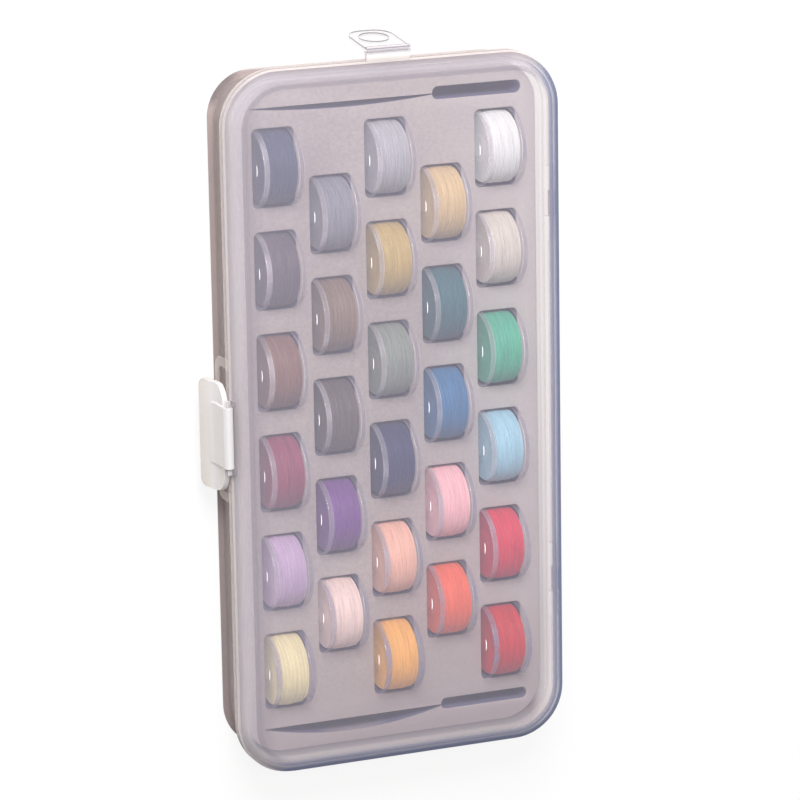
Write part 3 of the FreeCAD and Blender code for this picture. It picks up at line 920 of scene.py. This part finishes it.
def windingMaster(seed):
    dice = random.Random(seed)
    half = winding["halfLength"] - winding["strand"] - 0.02
    radius = winding["radius"] - winding["strand"]
    turns = 2 * half / winding["pitch"]
    coil = strandTurns(-half, radius - 0.12, turns, winding["pitch"], winding["steps"])
    coil.name = "winding" + str(seed)
    extras = []
    for crossing in range(winding["crossings"]):
        reach = dice.uniform(1.2, 4.5)
        share = dice.uniform(0.35, 0.7)
        startX = dice.uniform(-half + 0.3, half - reach - 0.3)
        strand = strandTurns(startX, radius - 0.02, share, reach / share, 40)
        turn = Matrix.Rotation(dice.uniform(0, 2 * math.pi), 4, "X")
        if dice.random() < 0.5:
            turn = turn @ Matrix.Rotation(math.pi, 4, "Z")
        strand.data.transform(turn)
        extras.append(strand)
    bpy.ops.object.select_all(action="DESELECT")
    bpy.ops.mesh.primitive_cylinder_add(
        vertices=72, radius=(radius - 0.14) * mm, depth=2 * (winding["halfLength"] - 0.02) * mm,
        rotation=(0, math.pi / 2, 0),
    )
    drum = newPiece("drum")
    settle(drum)
    pick(drum, lambda face: abs(face.normal.x) < 0.5)
    bpy.ops.mesh.subdivide(number_cuts=11)
    leaveEdit()
    end = drum.data.attributes.new("end", "FLOAT", "POINT")
    for index, vertex in enumerate(drum.data.vertices):
        end.data[index].value = 1.0 if abs(vertex.co.x) > (winding["halfLength"] - 0.1) * mm else 0.0
    joinPieces(coil, extras + [drum])
    # fuller at the middle, with soft hills where turns heap up
    waves = [(dice.uniform(0.5, 1.6), dice.uniform(0, 6.28), dice.choice((1, 2, 3))) for i in range(4)]
    for vertex in coil.data.vertices:
        x, y, z = vertex.co
        away = math.hypot(y, z)
        if away < 1e-6:
            continue
        along = x / mm / winding["halfLength"]
        around = math.atan2(z, y)
        heap = sum(math.sin(f * x / mm + p + n * around) for f, p, n in waves) * winding["hill"]
        ripple = math.sin(winding["rippleRate"] * x / mm + 1.2 * math.sin(around + seed) + seed)
        heap += winding["ripple"] * ripple - winding["ripple"]
        crowned = away - (winding["crown"] * along * along - heap) * mm
        vertex.co.y = y * crowned / away
        vertex.co.z = z * crowned / away
        # turns bunch in twos and threes
        bunch = math.sin(winding["bunchRate"] * x / mm + 0.8 * math.sin(around + seed))
        vertex.co.x = x + winding["bunch"] * bunch * (1 - along * along) * mm
    return coil


def threadMaterial(name, colour):
    material, make = newMaterial("thread_" + name)
    fibres = noise(make, winding["fibreScale"], 3, stretched(make, 2.4, 0.1, 0.1))
    shade = noise(make, winding["shadeScale"], 3, stretched(make, 2.0, 0.8, 0.8))
    pale = sum(colour[:3]) / 3
    dark = tuple(channel * (0.8 + 0.1 * pale) for channel in colour[:3]) + (1,)
    light = tuple(min(1, channel * (1.14 - 0.08 * pale) + 0.01) for channel in colour[:3]) + (1,)
    mixed = mapped(make, fibres * 0.75 + shade * 0.25, 0, 1, 0.36, 0.64)
    # painted light: the drum's ends glow in the thread's colour, in place of light through the clear
    # flanges
    end = make.node("ShaderNodeAttribute", {"attribute_name": "end"}, {}, "Fac")
    shader = make.node(
        "ShaderNodeBsdfPrincipled",
        {},
        {
            "Base Color": mixColour(make, mixed, dark, light),
            "Emission Color": mixColour(make, end, (0, 0, 0, 1), colour),
            "Emission Strength": winding["endGlow"],
            "Roughness": winding["roughness"],
            "Specular IOR Level": winding["shine"],
            "Sheen Weight": winding["sheen"],
            "Sheen Roughness": 0.4,
            "Normal": bump(make, fibres, 0.35, 0.0001),
        },
    )
    finishMaterial(make, shader)
    return material


masters = [windingMaster(seed) for seed in range(winding["masters"])]
dice = random.Random(11)
for column, colours in threadColours.items():
    for (name, colour), (x, y) in zip(colours.items(), bobbinPlaces(column - 1)):
        master = dice.choice(masters)
        turn = Matrix.Rotation(dice.uniform(0, 2 * math.pi), 4, "X")
        place = Matrix.Translation((x * mm, y * mm, winding["axisHeight"] * mm))
        wound = copyTo(master, "wound_" + name, place @ turn)
        makeActive(wound)
        bpy.ops.object.shade_smooth_by_angle(angle=math.radians(60))
        paint(wound, threadMaterial(name, tone(*colour)))
        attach(wound, "base")
        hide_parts("thread_" + name)
        "thread_" + name
for master in masters:
    bpy.data.objects.remove(master)
print("threads wound")


# floor, lights and camera

studio = {
    "paper": tone(244, 244, 244), "glow": 0.85, "drop": 0.1,
    "shaded": tone(172, 160, 164), "lowShade": tone(152, 140, 145), "cornerShade": tone(118, 107, 113),
    "lowFull": -70.0, "lowEnd": 60.0, "slantLow": -1.5, "slantHigh": 4.5, "slantReach": 80.0,
    "cornerX": -40.0, "cornerFade": 4.0, "cornerNear": -91.0, "cornerFar": 87.0,
    "left": -46.9, "right": 48.0, "rightFade": 9.5, "near": -98.0, "nearFade": 8.0, "far": 96.8,
    "worldLight": 0.4, "lampPlace": (-0.22, 0.62, 0.75), "lampSize": 0.45, "lampPower": 13.5,
}


def seenDirectly(make):
    # 1 for rays from the camera, and for those in gloss or glass
    rays = [
        make.node("ShaderNodeLightPath", {}, {}, kind)
        for kind in ("Is Camera Ray", "Is Glossy Ray", "Is Transmission Ray")
    ]
    seen = make.node("ShaderNodeMath", {"operation": "MAXIMUM"}, {0: rays[0], 1: rays[1]})
    return make.node("ShaderNodeMath", {"operation": "MAXIMUM"}, {0: seen, 1: rays[2]})


def floorMaterial():
    # white paper, with painted shade where it is seen through the box
    material, make = newMaterial("paperFloor")
    place = make.node("ShaderNodeTexCoord", {}, {}, "Object")
    across = make.node("ShaderNodeSeparateXYZ", {}, {"Vector": place}, "X")
    along = make.node("ShaderNodeSeparateXYZ", {}, {"Vector": place}, "Y")
    layers = make.node("ShaderNodeLightPath", {}, {}, "Transparent Depth")
    hidden = mapped(make, layers, 0, 1, 0.4, 0.6)
    right = studio["right"] * mm
    near = studio["near"] * mm
    hidden = hidden * mapped(make, across, 0, 1, (studio["left"] - 1) * mm, studio["left"] * mm)
    reach = studio["slantReach"] * mm
    slant = mapped(make, along, studio["slantLow"] * mm, studio["slantHigh"] * mm, -reach, reach)
    slanted = across + slant
    hidden = hidden * mapped(make, slanted, 1, 0, right, right + studio["rightFade"] * mm)
    hidden = hidden * mapped(make, along, 0.7, 1, near - studio["nearFade"] * mm, near)
    hidden = hidden * mapped(make, along, 1, 0, studio["far"] * mm, (studio["far"] + 1) * mm)
    far = mapped(make, along, 0, 1, studio["lowFull"] * mm, studio["lowEnd"] * mm)
    through = mixColour(make, far, studio["lowShade"], studio["shaded"])
    corner = mapped(
        make, across, 1, 0, studio["cornerX"] * mm, (studio["cornerX"] + studio["cornerFade"]) * mm
    )
    middle = between(make, along, studio["cornerNear"] * mm, studio["cornerFar"] * mm, 3 * mm)
    corner = corner * (1 - middle)
    through = mixColour(make, corner, through, studio["cornerShade"])
    shade = mixColour(make, hidden, studio["paper"], through)
    paper = make.node("ShaderNodeBsdfDiffuse", {}, {"Color": shade})
    glow = make.node("ShaderNodeEmission", {}, {"Color": (1, 1, 1, 1), "Strength": 1.0})
    bright = seenDirectly(make) * studio["glow"] * (1 - hidden)
    finishMaterial(make, make.node("ShaderNodeMixShader", {}, {0: bright, 1: paper, 2: glow}))
    return material


bpy.ops.object.select_all(action="DESELECT")
bpy.ops.mesh.primitive_plane_add(size=6, location=(0, 0, -studio["drop"] * mm))
floorPlane = newPiece("floorPlane")
paint(floorPlane, floorMaterial())


def areaLight(name, place, target, size, power):
    lamp = bpy.data.lights.new(name, "AREA")
    lamp.size = size
    lamp.energy = power
    holder = bpy.data.objects.new(name, lamp)
    bpy.context.scene.collection.objects.link(holder)
    holder.location = place
    holder.rotation_euler = (Vector(target) - Vector(place)).to_track_quat("-Z", "Y").to_euler()


areaLight("keyLight", studio["lampPlace"], (0, 0, 0), studio["lampSize"], studio["lampPower"])

world = bpy.data.worlds.new("studio")
world.use_nodes = True
world.node_tree.nodes.clear()
make = Field(world.node_tree)
seen = seenDirectly(make)
soft = make.node("ShaderNodeBackground", {}, {"Color": (1, 1, 1, 1), "Strength": studio["worldLight"]})
white = make.node("ShaderNodeBackground", {}, {"Color": (1, 1, 1, 1), "Strength": 1.0})
sky = make.node("ShaderNodeMixShader", {}, {0: seen, 1: soft, 2: white})
make.node("ShaderNodeOutputWorld", {}, {"Surface": sky})
bpy.context.scene.world = world

view = {
    "place": (-0.43941, 0.29149, 1.09519),
    "turn": (-13.514, -22.514, -1.038),
    "lens": 192.57, "sensor": 36,
}
camera = bpy.data.cameras.new("camera")
camera.lens = view["lens"]
camera.sensor_width = view["sensor"]
holder = bpy.data.objects.new("camera", camera)
bpy.context.scene.collection.objects.link(holder)
holder.location = view["place"]
holder.rotation_euler = [math.radians(angle) for angle in view["turn"]]
bpy.context.scene.camera = holder
bpy.context.scene.view_settings.view_transform = "Standard"

print("lights and camera set")
